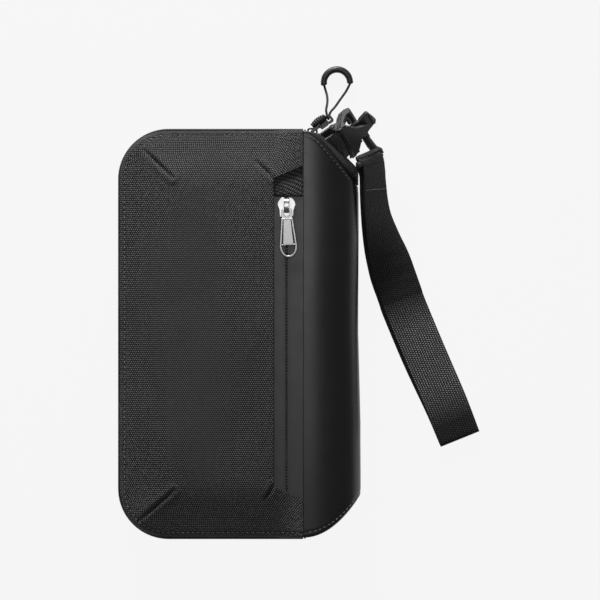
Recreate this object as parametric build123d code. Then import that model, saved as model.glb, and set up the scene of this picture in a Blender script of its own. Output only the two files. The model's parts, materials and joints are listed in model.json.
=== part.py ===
from build123d import *
import math
import os

# A slim zippered pouch that lies on its flat back panel.
# +X points to the coated spine, +Y to the pouch's top, +Z out of the front panel.
# The origin is the centre of the back panel's flat outer face.

# ---- driving dimensions, in millimetres ----
LENGTH = 200.0
LEFT_X = -59.0
SPINE_X = 59.0
SEAM_X = 32.0
SPINE_H = 30.0
ZIP_Z = 15.0
RIM_Z = 26.0
PLATEAU_Z = 31.0
LEFT_CORNER_R = 22.0
RIGHT_CUT = 20.5
RIGHT_CORNER_R = 10.0

SKIN = 1.4
FOAM_T = 1.6
LINING_T = 0.6
GAP = 0.1
JOINT_GAP = 0.3

# the raised front pocket
POCKET_RIGHT = 17.0
PLATEAU_LEFT = -33.0
PLATEAU_TOP = 77.0
STRIP_TOP = 67.2
STRIP_BOTTOM = -78.0
STRIP_Z = 28.5
SLIT_X = 23.5
TAPE_T = 0.6

# the main zip round the gusset
TEETH_W = 1.8
TEETH_T = 1.7
ZIP_INSET = 2.4
TEETH_GAP = 1.6

# fittings
WEB_W = 20.0
WEB_T = 1.2
HOOK_W = 24.0
BAR_R = 1.5
RING_R = 1.4
CORD_D = 1.2
GRIP_D = 3.3

HALF_L = LENGTH / 2
SPINE_RX = SPINE_X - SEAM_X
SPINE_RZ = SPINE_H / 2

# ---- frames of the tilted fittings ----


def tilted(origin, heading, tilt):
    """A plane whose x runs along the heading, with the side on its left raised by the tilt."""
    h, t = math.radians(heading), math.radians(tilt)
    along = (math.cos(h), math.sin(h), 0)
    normal = (math.sin(h) * math.sin(t), -math.cos(h) * math.sin(t), math.cos(t))
    return Plane(origin=origin, x_dir=along, z_dir=normal)


HOOK_FRAME = tilted((53.0, 93.4, 17.6), 35, 52)
RING_FRAME = tilted((64.6, 85.8, 13.6), -64, -56)

# ---- helpers ----


def box(x0, x1, y0, y1, z0, z1):
    """A box between two corners."""
    return Pos((x0 + x1) / 2, (y0 + y1) / 2, (z0 + z1) / 2) * Box(x1 - x0, y1 - y0, z1 - z0)


def prism(points, z0, z1):
    """A closed polygon extruded between two heights."""
    face = make_face(Polyline(*points, close=True))
    return Pos(0, 0, z0) * extrude(face, z1 - z0)


def rod(start, end, radius):
    """A round bar from one point to another."""
    a, b = Vector(*start), Vector(*end)
    plane = Plane(origin=a, z_dir=b - a)
    return plane.location * Pos(0, 0, (b - a).length / 2) * Cylinder(radius, (b - a).length)


def outline(inset, z0, z1):
    """The pouch's outline as a block, set in from the outer edge."""
    x0, x1, y = LEFT_X + inset, SPINE_X - inset, HALF_L - inset
    cut = RIGHT_CUT - inset * (2 - math.sqrt(2))
    corners = [(x0, -y), (x1 - cut, -y), (x1, -y + cut), (x1, y - cut), (x1 - cut, y), (x0, y)]
    left, right = LEFT_CORNER_R - inset, RIGHT_CORNER_R - inset
    wire = FilletPolyline(*corners, radius=[left, right, right, right, right, left], close=True)
    return Pos(0, 0, z0) * extrude(make_face(wire), z1 - z0)


def spine_bar(inset):
    """The half-ellipse of the spine, extruded along the pouch."""
    rx, rz = SPINE_RX - inset, SPINE_RZ - inset
    oval = Pos(SEAM_X, 0, ZIP_Z) * Rot(90, 0, 0) * extrude(Ellipse(rx, rz), HALF_L + 1, both=True)
    return oval & box(SEAM_X, SPINE_X + 1, -HALF_L - 1, HALF_L + 1, -1, SPINE_H + 1)


def wall(inset, thickness, z0, z1, right_end):
    """A wall that follows the outline round its top, left and bottom."""
    ring = outline(inset, z0, z1) - outline(inset + thickness, z0, z1)
    return ring & box(LEFT_X - 1, right_end, -HALF_L - 1, HALF_L + 1, z0, z1)


def slab(inset, z0, z1, right_end):
    """A plate inside the outline, cut off at the spine."""
    return outline(inset, z0, z1) & box(LEFT_X - 1, right_end, -HALF_L - 1, HALF_L + 1, z0, z1)


# ---- back half ----

COVER_RIGHT = SEAM_X - JOINT_GAP


def back_panel():
    return slab(0, 0, SKIN, SEAM_X - GAP)


def back_foam():
    return slab(2.2, SKIN + GAP, SKIN + GAP + FOAM_T, SEAM_X - GAP)


def back_lining():
    z0 = SKIN + 2 * GAP + FOAM_T
    return slab(2.2, z0, z0 + LINING_T, SEAM_X - GAP)


def inner_pocket():
    """A slip pocket sewn on the back lining by three raised edges."""
    z0 = SKIN + 3 * GAP + FOAM_T + LINING_T
    top = box(-46, 24, -84, 30, z0, z0 + 2.4)
    return top - box(-44.6, 22.6, -82.6, 31, z0 - 1, z0 + 1.6)


def back_gusset():
    return wall(0, SKIN, SKIN + GAP, 11.0, SEAM_X - GAP)


def back_zip_tape():
    return wall(ZIP_INSET + 0.6, TAPE_T, 8.0, ZIP_Z - TEETH_GAP / 2 - TEETH_T - GAP, SEAM_X - GAP)


def back_zip_teeth():
    top = ZIP_Z - TEETH_GAP / 2
    return wall(ZIP_INSET, TEETH_W, top - TEETH_T, top, SEAM_X - GAP)


def zip_end_tapes():
    """The sewn-down ends of both zip tapes, past the seam at the top."""
    y1 = HALF_L - ZIP_INSET - 0.6
    half = TEETH_GAP / 2
    low = box(SEAM_X + GAP, 39.5, y1 - TAPE_T, y1, 8.0, ZIP_Z - half)
    return Compound([low, box(SEAM_X + GAP, 39.5, y1 - TAPE_T, y1, ZIP_Z + half, 22.0)])


def spine_panel():
    """The coated panel wrapped round the spine."""
    return (spine_bar(0) - spine_bar(SKIN)) & outline(0, -1, SPINE_H + 1)


def spine_stiffener():
    """The thin foam sheet behind the coated panel."""
    inner = spine_bar(SKIN + GAP) - spine_bar(SKIN + GAP + 1.0)
    return inner & outline(2.2, -1, SPINE_H + 1)


def spine_cap(side):
    """The nylon wall that closes one end of the spine along the cut corner."""
    ring = outline(0.2, 0, SPINE_H) - outline(0.2 + SKIN, 0, SPINE_H)
    start = 42.0 if side > 0 else SEAM_X + GAP
    zone = box(start, SPINE_X - 3, *sorted((side * 78, side * (HALF_L + 1))), 0, SPINE_H)
    return ring & zone & spine_bar(SKIN + GAP)


# ---- front cover ----


def front_gusset():
    return wall(0, SKIN, 19.0, RIM_Z - SKIN - 2 * GAP, COVER_RIGHT)


def front_zip_tape():
    z0 = ZIP_Z + TEETH_GAP / 2 + TEETH_T + GAP
    return wall(ZIP_INSET + 0.6, TAPE_T, z0, 22.0, COVER_RIGHT)


def front_zip_teeth():
    z0 = ZIP_Z + TEETH_GAP / 2
    return wall(ZIP_INSET, TEETH_W, z0, z0 + TEETH_T, COVER_RIGHT)


BACKING_TOP = RIM_Z - SKIN - 2 * GAP


def front_backing():
    """The foam sheet between the front pocket and the main compartment."""
    return slab(SKIN + GAP, BACKING_TOP - SKIN, BACKING_TOP, COVER_RIGHT)


def front_lining():
    z1 = BACKING_TOP - SKIN - GAP
    return slab(ZIP_INSET + 1.4, z1 - LINING_T, z1, COVER_RIGHT)


def pocket_block(drop):
    """The raised front: a flat plateau with sides that slope to the rim, lowered by a skin's thickness."""
    y0, y1, z0 = HALF_L, PLATEAU_TOP - drop, RIM_Z - SKIN - GAP
    base = Plane.XY.offset(z0) * make_face(
        Polyline((LEFT_X + drop, -y0 + drop), (POCKET_RIGHT - drop, -y0 + drop),
                 (POCKET_RIGHT - drop, y0 - drop), (LEFT_X + drop, y0 - drop), close=True))
    top = Plane.XY.offset(PLATEAU_Z - drop) * make_face(
        Polyline((PLATEAU_LEFT + drop, -y1), (POCKET_RIGHT - drop, -y1),
                 (POCKET_RIGHT - drop, y1), (PLATEAU_LEFT + drop, y1), close=True))
    return loft([base, top], ruled=True)


def front_panel():
    """The nylon front with its raised pocket, open underneath."""
    shell = pocket_block(0) - pocket_block(SKIN)
    rim = wall(0, 4.0, RIM_Z - SKIN - GAP, RIM_Z - GAP, POCKET_RIGHT)
    rim = rim & pocket_block(0)
    return (shell + rim) & outline(0, 0, PLATEAU_Z + 1)


def strip_cover(side):
    """The nylon over one end of the pocket zip, sloping from the fold down to the rim."""
    inner = STRIP_TOP if side > 0 else STRIP_BOTTOM
    rim, fold = side * (HALF_L - 0.2), side * (HALF_L - 18)
    z0, z1, z2 = RIM_Z - SKIN - GAP, STRIP_Z + 0.9, RIM_Z + 0.6
    profile = [(inner, z0), (inner, z1), (fold, z1), (rim, z2), (rim, z0)]
    face = make_face(Polyline(*[(POCKET_RIGHT + GAP, y, z) for y, z in profile], close=True))
    solid = extrude(face, amount=COVER_RIGHT - POCKET_RIGHT - GAP, dir=(1, 0, 0))
    hollow = box(SLIT_X - 6, SLIT_X + 6, *sorted((inner, side * 90)), z0 - 1, z1 - 1.1)
    return (solid - hollow) & outline(0, 0, PLATEAU_Z)


def pocket_tape(side):
    """One side of the pocket zip's coated tape, with a flange down to the backing."""
    edge = SLIT_X + side * 0.6
    far = POCKET_RIGHT + GAP if side < 0 else COVER_RIGHT
    x0, x1 = sorted((edge, far))
    flange = sorted((far, far - side * 1.0))
    y0, y1 = STRIP_BOTTOM + GAP, STRIP_TOP - GAP
    top = box(x0, x1, y0, y1, STRIP_Z - TAPE_T, STRIP_Z)
    return top + box(*flange, y0, y1, BACKING_TOP + GAP, STRIP_Z - TAPE_T / 2)


def pocket_coil(side):
    """One half of the reversed coil that closes under the tape."""
    x0, x1 = sorted((SLIT_X + side * 0.8, SLIT_X + side * 2.4))
    z1 = STRIP_Z - TAPE_T - GAP
    return box(x0, x1, STRIP_BOTTOM + 1, STRIP_TOP - 1, z1 - 1.1, z1)


def pocket_stop():
    """The bottom stop of the pocket zip."""
    z1 = STRIP_Z - TAPE_T - 1.4
    return box(SLIT_X - 2.4, SLIT_X + 2.4, STRIP_BOTTOM + 1, STRIP_BOTTOM + 3, z1 - 0.8, z1)


def seam_binding():
    """The folded nylon strip along the cover's hinge seam, under the spine's edge."""
    return box(COVER_RIGHT - 1.6, COVER_RIGHT, -90, 90, 19.6, BACKING_TOP - SKIN - 2 * GAP - LINING_T)


# ---- pocket slider and its pull ----

SLIDER_Y = 61.9
SLIDER_L = 9.8
SLIDER_W = 9.0
PULL_PIVOT = (SLIT_X, SLIDER_Y - 0.8, 32.0)
PULL_L = 24.0
PULL_NECK_W = 6.6
PULL_W = 8.7
PULL_T = 1.1
PULL_PIN_R = 0.5
PULL_LEAN = 3.0
PULL_DROOP = 3.5


def slider_outline(length, width, z0, z1):
    """A shield-shaped plate, wide at the shoulders and narrow at the tail."""
    nose, tail = length / 2, -length / 2
    points = [(-width * 0.36, nose), (width * 0.36, nose), (width / 2, nose * 0.35),
              (width * 0.40, tail), (-width * 0.40, tail), (-width / 2, nose * 0.35)]
    return prism(points, z0, z1)


def arch(length, width, height, thick):
    """A bridge along y that the pull's eye hangs on."""
    outer = Rot(0, 90, 0) * extrude(RectangleRounded(2 * height, length, 0.8), width / 2, both=True)
    inner = Rot(0, 90, 0) * extrude(
        RectangleRounded(2 * (height - thick), length - 2 * thick, 0.4), width, both=True)
    return (outer - inner) & box(-width, width, -length, length, 0, height + 1)


def pocket_slider():
    body = slider_outline(SLIDER_L, SLIDER_W, STRIP_Z + 0.3, STRIP_Z + 1.6)
    lower = slider_outline(SLIDER_L, 7.4, STRIP_Z - 3.1, STRIP_Z - 2.3)
    neck = box(-0.3, 0.3, 1.5, 4.2, STRIP_Z - 2.4, STRIP_Z + 0.4)
    crown = Pos(0, -0.6, STRIP_Z + 1.6) * arch(7.4, 1.6, 3.4, 0.9)
    return Pos(SLIT_X, SLIDER_Y, 0) * (body + lower + neck + crown)


def mirrored(points):
    """A closed outline from the points of its right side."""
    return points + [(-x, y) for x, y in reversed(points)]


def pocket_pull():
    """The flat metal tab: a pin under the crown, a raised plate and a slot near its round end."""
    neck, half, end = PULL_NECK_W / 2, PULL_W / 2, -PULL_L
    side = [(2.4, 0.9), (2.5, -2.8), (2.9, -4.8), (neck, -6.4), (half, end + 5.0),
            (half - 0.2, end + 2.6), (half - 1.2, end + 0.8), (half - 2.8, end)]
    tab = prism(mirrored(side), -PULL_T / 2, PULL_T / 2)
    eye = box(-1.3, 1.3, -4.0, 2.0, -2, 2)
    pin = rod((-1.8, 0, 0), (1.8, 0, 0), PULL_PIN_R)
    slot = box(-2.3, 2.3, end + 1.8, end + 5.4, -2, 2)
    field_side = [(neck - 0.8, -7.4), (half - 1.1, end + 6.8)]
    field = prism(mirrored(field_side), PULL_T / 2 - 0.25, 2)
    plate_side = [(neck - 1.4, -8.0), (half - 1.7, end + 7.4)]
    plate = prism(mirrored(plate_side), 0, PULL_T / 2)
    tab = (tab - eye - slot - field) + plate + pin
    return Pos(*PULL_PIVOT) * Rot(PULL_DROOP, 0, 0) * Rot(0, 0, PULL_LEAN) * tab


# ---- main slider, its pull and the cord puller ----

MAIN_X = 35.4
MAIN_L = 9.8
MAIN_W = 7.4
MAIN_OUT = HALF_L - ZIP_INSET + 0.3
MAIN_IN = HALF_L - ZIP_INSET - TEETH_W - 0.3
MAIN_PIVOT = (MAIN_X + 0.8, MAIN_OUT + 2.1, ZIP_Z)
TAB_ANGLE = 36.0
TAB_L = 12.0
TAB_W = 4.4
TAB_T = 1.0
RAIL_W = 1.0
TAB_FRAME = Plane(origin=MAIN_PIVOT, x_dir=(math.cos(math.radians(TAB_ANGLE)),
                                            math.sin(math.radians(TAB_ANGLE)), 0), z_dir=(0, 0, 1))


def main_slider():
    """Two plates on the gusset zip, joined by a bridge between the rows of teeth."""
    half = MAIN_W / 2
    outer = box(MAIN_X - 5.2, MAIN_X + 4.6, MAIN_OUT, MAIN_OUT + 1.0, ZIP_Z - half, ZIP_Z + half)
    inner = box(MAIN_X - 5.2, MAIN_X + 4.6, MAIN_IN - 1.0, MAIN_IN, ZIP_Z - half, ZIP_Z + half)
    bridge = box(MAIN_X + 1.8, MAIN_X + 4.4, MAIN_IN - 0.5, MAIN_OUT + 0.5, ZIP_Z - 0.45, ZIP_Z + 0.45)
    crown = Plane(origin=(MAIN_PIVOT[0], MAIN_OUT + 1.0, ZIP_Z), x_dir=(0, 0, 1), z_dir=(0, 1, 0))
    return outer + inner + bridge + crown.location * arch(5.2, 1.6, 3.0, 0.9)


def main_pull():
    """The narrow metal tab: a pin under the crown, two ears, a slot and an eye at the tip."""
    pin = Cylinder(0.6, 4.6)
    ears = box(-0.7, 4.2, -0.7, 0.7, 1.1, 2.3) + box(-0.7, 4.2, -0.7, 0.7, -2.3, -1.1)
    root = box(3.6, 4.8, -0.9, 0.9, -2.3, 2.3)
    tab = box(4.0, TAB_L, -TAB_W / 2, TAB_W / 2, -TAB_T / 2, TAB_T / 2)
    slot = box(5.4, 7.8, -0.9, 0.9, -1, 1)
    eye = box(TAB_L - 3.1, TAB_L - 0.9, -1.2, TAB_W / 2 - RAIL_W, -1, 1)
    return TAB_FRAME.location * (pin + ears + root + tab - slot - eye)


def puller_hitch():
    """The cord's wrapped knot, a short sleeve on the tab's upper side."""
    knot = Pos(5.8, 2.9, 0) * Rot(0, 90, 0) * Cylinder(2.1, 5.6)
    knot = fillet(knot.edges().filter_by(GeomType.CIRCLE), 1.2)
    clear = box(0, TAB_L + 1, -TAB_W / 2 - GAP, TAB_W / 2 + GAP, -TAB_T / 2 - GAP, TAB_T / 2 + GAP)
    return TAB_FRAME.location * (knot - clear)


def tab_point(x, y, z):
    """A point in the tab's own frame, along it, to its left and above it."""
    spot = TAB_FRAME.from_local_coords(Vector(x, y, z))
    return (spot.X, spot.Y, spot.Z)


FOLD = 1.45
EYE_AT = TAB_L - 2.0
RAIL_Y = TAB_W / 2 - RAIL_W / 2
GRIP_C = (48.5, 125.0)
GRIP_R = 6.5
GRIP_Z = GRIP_D / 2 + 0.1
GRIP_FROM, GRIP_SPAN = -5.0, 198.0


def grip_point(angle):
    a = math.radians(angle)
    return (GRIP_C[0] + GRIP_R * math.cos(a), GRIP_C[1] + GRIP_R * math.sin(a), GRIP_Z)


# The cord leaves the grip's left end, folds round the rail beside the tab's eye and comes back.
CORD_ROUTE = [
    grip_point(GRIP_FROM + GRIP_SPAN),
    (42.7, 121.5, 1.9),
    (43.5, 118.8, 3.4),
    (43.8, 116.0, 7.2),
    (43.5, 113.2, 11.6),
    tab_point(EYE_AT + 1.2, RAIL_Y + 2.5, 0.9),
    tab_point(EYE_AT, RAIL_Y - FOLD, FOLD),
    tab_point(EYE_AT, RAIL_Y - FOLD, -FOLD),
    tab_point(EYE_AT + 2.7, RAIL_Y + 0.95, -2.1),
    (47.4, 112.2, 9.3),
    (49.5, 115.5, 5.6),
    (51.7, 118.6, 3.1),
    (53.7, 121.6, 1.95),
    grip_point(GRIP_FROM),
]


def cord_radii(route):
    """Each corner's arc: 0.45 of its shorter run over the tangent of half the turn."""
    radii = []
    for a, b, c in zip(route, route[1:], route[2:]):
        into, out = Vector(*b) - Vector(*a), Vector(*c) - Vector(*b)
        half_turn = math.radians(into.get_angle(out)) / 2
        radii.append(0.45 * min(into.length, out.length) / math.tan(half_turn))
    return radii


def puller_cord():
    radii = cord_radii(CORD_ROUTE)
    path = FilletPolyline(*CORD_ROUTE, radius=radii)
    start = Plane(origin=path @ 0, z_dir=path % 0)
    tube = sweep(start * Circle(CORD_D / 2), path)
    area = math.pi * CORD_D ** 2 / 4
    print("cord radii", [round(r, 1) for r in radii])
    print("cord volume over section x length", round(tube.volume / (area * path.length), 4),
          "length", round(path.length, 1))
    return tube


def puller_grip():
    """The bent rubber grip that the cord's ends are moulded into."""
    arc = CenterArc((*GRIP_C, GRIP_Z), GRIP_R, GRIP_FROM, GRIP_SPAN)
    start = Plane(origin=arc @ 0, z_dir=arc % 0)
    return sweep(start * Circle(GRIP_D / 2), arc)


# ---- webbing loop and hook ----

BAR_Z = -4.6
BAR_X_HOOK = -1.2


def webbing_loop():
    """The short webbing folded round the hook's bar and sewn into the spine's cut corner."""
    inner, outer = BAR_R + 0.3, BAR_R + 0.3 + WEB_T
    fold = Cylinder(outer, WEB_W) - Cylinder(inner, WEB_W + 1)
    fold = Rot(90, 0, 0) * fold & box(0, 9, -WEB_W, WEB_W, -9, 9)
    legs = box(-16, 0, -WEB_W / 2, WEB_W / 2, inner, outer)
    legs += box(-16, 0, -WEB_W / 2, WEB_W / 2, -outer, -inner)
    loop = HOOK_FRAME.location * Pos(BAR_X_HOOK, 0, BAR_Z) * (fold + legs)
    return loop - outline(0, -5, SPINE_H + 9)


HOOK_PLATE = [(0.2, 12.0), (6.2, 10.6), (8.6, 4.4), (14.2, 3.2), (14.8, -6.0),
              (8.4, -8.8), (4.4, -10.8), (0.2, -12.0)]


def hook_body():
    """The moulded hook: a bar for the webbing, a tapering front plate and a thick ridged side."""
    half = HOOK_W / 2
    bar = rod((BAR_X_HOOK, -half, BAR_Z), (BAR_X_HOOK, half, BAR_Z), BAR_R)
    arms = box(-2.6, 4.0, half - 1.4, half, BAR_Z - 1.6, -0.4)
    arms += box(-2.6, 4.0, -half, -half + 1.4, BAR_Z - 1.6, -0.4)
    plate = prism(HOOK_PLATE, -1.4, 0)
    side = box(2.6, 9.6, 8.6, half, -9.0, -0.4) + box(6.4, 9.6, 2.4, half, -10.2, -8.2)
    lugs = box(6.4, 7.8, -8.0, -3.6, -7.2, -0.4) + box(12.6, 14.2, -8.0, -3.6, -7.2, -0.4)
    lugs = lugs & prism([(6, -2), (16, -2), (16, -8), (6, -8)], -8, 0)
    pin = rod((7.0, -6.0, -5.4), (13.4, -6.0, -5.4), 1.1)
    web = box(2.6, 4.4, -half, half, -4.0, -0.4)
    return HOOK_FRAME.location * (bar + arms + plate + side + lugs + pin + web)


GATE_PIVOT = (5.2, 0, -4.0)


def hook_gate():
    """The sprung lever under the front plate, with its thumb tab past the hook's nose."""
    tongue = box(4.7, 15.2, -2.2, 6.2, -4.6, -2.8)
    tab = box(14.9, 19.2, -4.4, 7.4, -4.6, -2.4)
    return HOOK_FRAME.location * (tongue + tab)


# ---- strap hook and wrist strap ----

EYE_X = 10.2
EYE_HALF = 1.3
EYE_OUT_R = 2.6


def strap_hook():
    """The open hook that carries the strap: an eye on the hook's pin, an arm and a crossbar."""
    eye_at = (EYE_X, -6.0, -5.4)
    eye = rod((EYE_X - EYE_HALF, *eye_at[1:]), (EYE_X + EYE_HALF, *eye_at[1:]), EYE_OUT_R)
    bore = rod((EYE_X - 3, *eye_at[1:]), (EYE_X + 3, *eye_at[1:]), 1.35)
    eye, bore = HOOK_FRAME.location * eye, HOOK_FRAME.location * bore
    east = RING_FRAME.from_local_coords(Vector(0, 12.6, 0))
    west = RING_FRAME.from_local_coords(Vector(0, -11.0, 0))
    top = HOOK_FRAME.from_local_coords(Vector(EYE_X, -8.0, -5.9))
    bend = RING_FRAME.from_local_coords(Vector(-7.0, 12.6, 1.2))
    path = FilletPolyline(top, bend, east, west, radius=[3.0, 2.2])
    start = Plane(origin=path @ 0, z_dir=path % 0)
    arm = sweep(start * Circle(RING_R), path)
    return (eye + arm) - bore


STRAP_T = 3.0
STRAP_FLAT_Z = STRAP_T / 2 + 0.3
# The strap's run from the bar to its fold: centre, heading and tilt, easing from tilted to flat.
STRAP_RUN = [
    ((65.4, 84.0, 13.0), -68, -56),
    ((66.2, 76.5, 12.2), -80, -57),
    ((66.7, 68.0, 11.2), -83, -55),
    ((67.8, 57.5, 9.6), -78, -49),
    ((70.4, 46.5, 7.2), -75, -34),
    ((73.6, 36.3, 4.4), -72, -15),
    ((75.5, 30.6, 3.0), -71, -7),
    ((77.5, 24.7, 2.2), -70, -2),
    ((79.5, 18.8, STRAP_FLAT_Z), -69, 0),
    ((81.6, 12.7, STRAP_FLAT_Z), -68, 0),
    ((91.6, -10.8, STRAP_FLAT_Z), -67, 0),
    ((101.9, -34.3, STRAP_FLAT_Z), -67, 0),
    ((108.6, -51.0, STRAP_FLAT_Z), -68, 0),
]


def strap_section(centre, heading, tilt):
    """The folded webbing's rectangle, square to its run."""
    frame = tilted(centre, heading, tilt)
    across = Plane(origin=frame.origin, x_dir=frame.y_dir, z_dir=frame.x_dir)
    return across * Rectangle(WEB_W, STRAP_T)


def wrist_strap():
    """The wrist strap: one band of webbing folded flat, with a sleeve round the strap hook's bar."""
    sections = [strap_section(*station) for station in STRAP_RUN]
    band = loft(sections, ruled=True)
    outer, inner = RING_R + 0.3 + WEB_T, RING_R + 0.3
    sleeve = RING_FRAME.location * Rot(90, 0, 0) * Cylinder(outer, WEB_W)
    bore = RING_FRAME.location * Rot(90, 0, 0) * Cylinder(inner, WEB_W + 4)
    return (band + sleeve) - bore


PARTS = {
    "back_panel": back_panel,
    "back_foam": back_foam,
    "back_lining": back_lining,
    "inner_slip_pocket": inner_pocket,
    "back_gusset": back_gusset,
    "back_zip_tape": back_zip_tape,
    "back_zip_teeth": back_zip_teeth,
    "zip_end_tapes": zip_end_tapes,
    "spine_panel": spine_panel,
    "spine_stiffener": spine_stiffener,
    "spine_cap_top": lambda: spine_cap(1),
    "spine_cap_bottom": lambda: spine_cap(-1),
    "webbing_loop": webbing_loop,
    "front_panel": front_panel,
    "front_backing": front_backing,
    "front_lining": front_lining,
    "front_gusset": front_gusset,
    "front_zip_tape": front_zip_tape,
    "front_zip_teeth": front_zip_teeth,
    "seam_binding": seam_binding,
    "zip_garage_top": lambda: strip_cover(1),
    "zip_garage_bottom": lambda: strip_cover(-1),
    "pocket_tape_left": lambda: pocket_tape(-1),
    "pocket_tape_right": lambda: pocket_tape(1),
    "pocket_coil_left": lambda: pocket_coil(-1),
    "pocket_coil_right": lambda: pocket_coil(1),
    "pocket_zip_stop": pocket_stop,
    "pocket_slider_body": pocket_slider,
    "pocket_pull_tab": pocket_pull,
    "main_slider_body": main_slider,
    "main_pull_tab": main_pull,
    "puller_hitch": puller_hitch,
    "puller_cord": puller_cord,
    "puller_grip": puller_grip,
    "hook_body": hook_body,
    "hook_gate": hook_gate,
    "strap_hook": strap_hook,
    "wrist_strap": wrist_strap,
}

os.makedirs("parts", exist_ok=True)
for name, make in PARTS.items():
    export_step(make(), f"parts/{name}.step")
print("hook hinge", HOOK_FRAME.from_local_coords(Vector(BAR_X_HOOK, 0, BAR_Z)), HOOK_FRAME.y_dir)
print("gate hinge", HOOK_FRAME.from_local_coords(Vector(*GATE_PIVOT)), HOOK_FRAME.y_dir)
print("eye hinge", HOOK_FRAME.from_local_coords(Vector(EYE_X, -6.0, -5.4)), HOOK_FRAME.x_dir)
print("strap hinge", RING_FRAME.origin, RING_FRAME.y_dir)
print("pulls", MAIN_PIVOT, PULL_PIVOT)
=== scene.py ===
import json
from math import cos, exp, hypot, pi, radians, sin, sqrt

import bpy
from mathutils import Matrix, Vector, noise


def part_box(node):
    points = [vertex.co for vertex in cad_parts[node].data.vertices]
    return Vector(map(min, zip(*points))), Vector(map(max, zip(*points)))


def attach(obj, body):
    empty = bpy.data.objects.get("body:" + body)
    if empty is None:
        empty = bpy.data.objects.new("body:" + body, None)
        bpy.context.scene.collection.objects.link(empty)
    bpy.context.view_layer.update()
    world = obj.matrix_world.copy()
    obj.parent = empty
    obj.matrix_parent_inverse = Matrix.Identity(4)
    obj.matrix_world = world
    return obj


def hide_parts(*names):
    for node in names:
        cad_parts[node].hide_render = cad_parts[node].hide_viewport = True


# The pouch lies on its back panel, front up. Shapes are in millimetres, and MM turns them into metres.
MM = 0.001
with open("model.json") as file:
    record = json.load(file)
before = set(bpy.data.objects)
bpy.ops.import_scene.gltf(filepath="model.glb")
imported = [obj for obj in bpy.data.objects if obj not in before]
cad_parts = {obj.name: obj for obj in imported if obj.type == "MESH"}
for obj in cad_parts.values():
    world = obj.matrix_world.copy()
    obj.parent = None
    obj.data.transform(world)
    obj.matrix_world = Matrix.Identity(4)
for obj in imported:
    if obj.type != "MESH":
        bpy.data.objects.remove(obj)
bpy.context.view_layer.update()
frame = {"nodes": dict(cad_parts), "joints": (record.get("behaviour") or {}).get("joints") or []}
JOINTS = {j["name"]: j for j in frame["joints"]}


def size(node):
    """A node's lowest and highest corners, in millimetres."""
    low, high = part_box(node)
    return [v / MM for v in low], [v / MM for v in high]


PANEL_LOW, PANEL_HIGH = size("front_panel")
SPINE_LOW, SPINE_HIGH = size("spine_panel")
LEFT = PANEL_LOW[0] + 0.5
HALF = PANEL_HIGH[1]
PLATEAU = PANEL_HIGH[2]
POCKET_X = PANEL_HIGH[0]
SEAM = SPINE_LOW[0]
SPINE_X = SPINE_HIGH[0]
SPINE_H = SPINE_HIGH[2]
SPINE_R = SPINE_X - SEAM
ZIP_Z = SPINE_H / 2
RIM = 26.0  # height of the front's rolled rim
CORNER = 24.0  # radius of the outline's two corners
CUT_SUM = 138.5  # x + y along the spine's cut corners
SLIT = 23.5  # x of the pocket zip
COVER_RIGHT = SEAM - 0.35
TAPE_INSET = 2.9
STITCH_INSET = 2.5
STITCH_PITCH = 2.45
TAPE_LOW, TAPE_HIGH = size("pocket_tape_left")
STRIP_BOTTOM, STRIP_TOP, STRIP_Z = TAPE_LOW[1], TAPE_HIGH[1], TAPE_HIGH[2]

# ---- camera, light and floor ----

VIEW_CENTRE = (30.1, 16.7)
VIEW_WIDTH = 294.0


def add_camera():
    """A long lens straight above the front, with the pouch's top upwards."""
    data = bpy.data.cameras.new("camera")
    data.lens = 200
    camera = bpy.data.objects.new("camera", data)
    bpy.context.collection.objects.link(camera)
    distance = VIEW_WIDTH * data.lens / data.sensor_width
    camera.location = (VIEW_CENTRE[0] * MM, VIEW_CENTRE[1] * MM, (STRIP_Z + distance) * MM)
    bpy.context.scene.camera = camera


def add_area(name, place, aim, width, depth, power, spread):
    """A rectangular lamp, aimed at a point."""
    data = bpy.data.lights.new(name, "AREA")
    data.shape = "RECTANGLE"
    data.size = width
    data.size_y = depth
    data.energy = power
    data.spread = radians(spread)
    lamp = bpy.data.objects.new(name, data)
    lamp.location = place
    lamp.rotation_euler = (Vector(aim) - Vector(place)).to_track_quat("-Z", "Y").to_euler()
    bpy.context.collection.objects.link(lamp)


def add_world(strength):
    world = bpy.data.worlds.new("studio")
    world.use_nodes = True
    back = world.node_tree.nodes["Background"]
    back.inputs["Color"].default_value = (1, 1, 1, 1)
    back.inputs["Strength"].default_value = strength
    bpy.context.scene.world = world


def add_floor():
    """A wide pale floor that glows, as a lit white table does."""
    mesh = bpy.data.meshes.new("floor")
    reach = 3.0
    corners = [(-reach, -reach, 0), (reach, -reach, 0), (reach, reach, 0), (-reach, reach, 0)]
    mesh.from_pydata(corners, [], [(0, 1, 2, 3)])
    floor = bpy.data.objects.new("floor", mesh)
    floor.location = (0, 0, -0.0002)
    bpy.context.collection.objects.link(floor)
    glow = Surface("floor", grey(0.03), 0.9)
    glow.set("Specular IOR Level", 0.0)
    glow.set("Emission Color", (1, 1, 1, 1))
    glow.set("Emission Strength", 0.9)
    mesh.materials.append(glow.mat)


# ---- material building blocks ----


M = {}  # the materials by name


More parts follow.
